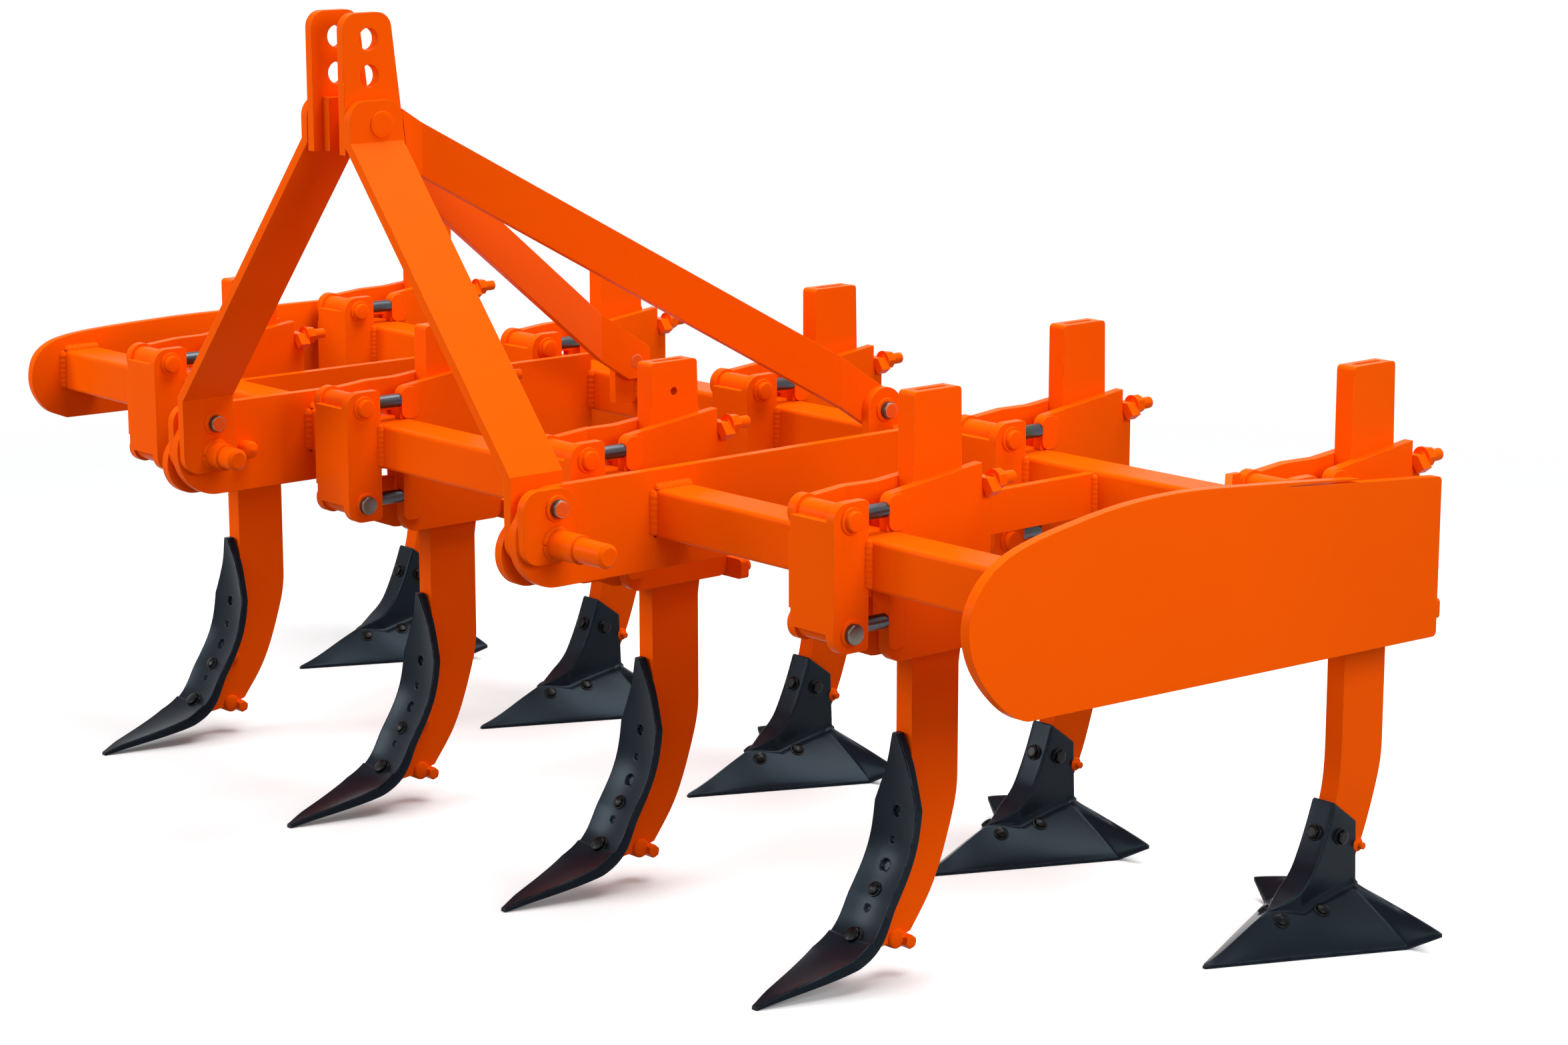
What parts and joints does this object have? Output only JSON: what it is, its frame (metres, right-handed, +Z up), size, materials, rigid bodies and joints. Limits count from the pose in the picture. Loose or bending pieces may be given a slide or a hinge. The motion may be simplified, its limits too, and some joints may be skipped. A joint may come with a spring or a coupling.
{
  "type": "field cultivator",
  "caption": "Three-point mounted field cultivator: twin beams, two rows of rigid clamped tines, curved shovels ahead and duck-foot sweeps behind.",
  "frame": {"origin": "on the ground in the middle of the implement's plan", "axes": "+X along the beams towards the side of the nearer end plate, +Y from the headstock towards the rear row, +Z up"},
  "size_m": [2.0812, 0.881, 1.033],
  "materials": {
    "orange_paint": "gloss",
    "share_steel": "semi-gloss",
    "bare_steel": "satin"
  },
  "bodies": {
    "root": {"brace_lug_left": "orange_paint", "brace_lug_right": "orange_paint", "clamp_brackets_front": "orange_paint", "clamp_brackets_rear": "orange_paint", "clamp_saddles_front": "orange_paint", "clamp_saddles_rear": "orange_paint", "end_plate_left": "orange_paint", "end_plate_right": "orange_paint", "end_stay_right": "orange_paint", "front_beam": "orange_paint", "headstock_leg_left": "orange_paint", "headstock_leg_right": "orange_paint", "hitch_cheek_left": "orange_paint", "hitch_cheek_right": "orange_paint", "hitch_pin_left": "orange_paint", "hitch_pin_right": "orange_paint", "hitch_plate_left": "orange_paint", "hitch_plate_right": "orange_paint", "mast_plate_left": "orange_paint", "mast_plate_right": "orange_paint", "mast_spacer": "orange_paint", "rear_beam": "orange_paint", "rear_brace_left": "orange_paint", "rear_brace_right": "orange_paint", "shovel_front_1": "share_steel", "shovel_front_2": "share_steel", "shovel_front_3": "share_steel", "shovel_front_4": "share_steel", "spacer_bars": "orange_paint", "sweep_rear_1": "share_steel", "sweep_rear_2": "share_steel", "sweep_rear_3": "share_steel", "sweep_rear_4": "share_steel", "sweep_rear_5": "share_steel", "tie_rods_front": "bare_steel", "tie_rods_rear": "bare_steel", "tine_front_1": "orange_paint", "tine_front_2": "orange_paint", "tine_front_3": "orange_paint", "tine_front_4": "orange_paint", "tine_holders_front": "orange_paint", "tine_holders_rear": "orange_paint", "tine_rear_1": "orange_paint", "tine_rear_2": "orange_paint", "tine_rear_3": "orange_paint", "tine_rear_4": "orange_paint", "tine_rear_5": "orange_paint"}
  },
  "joints": []
}
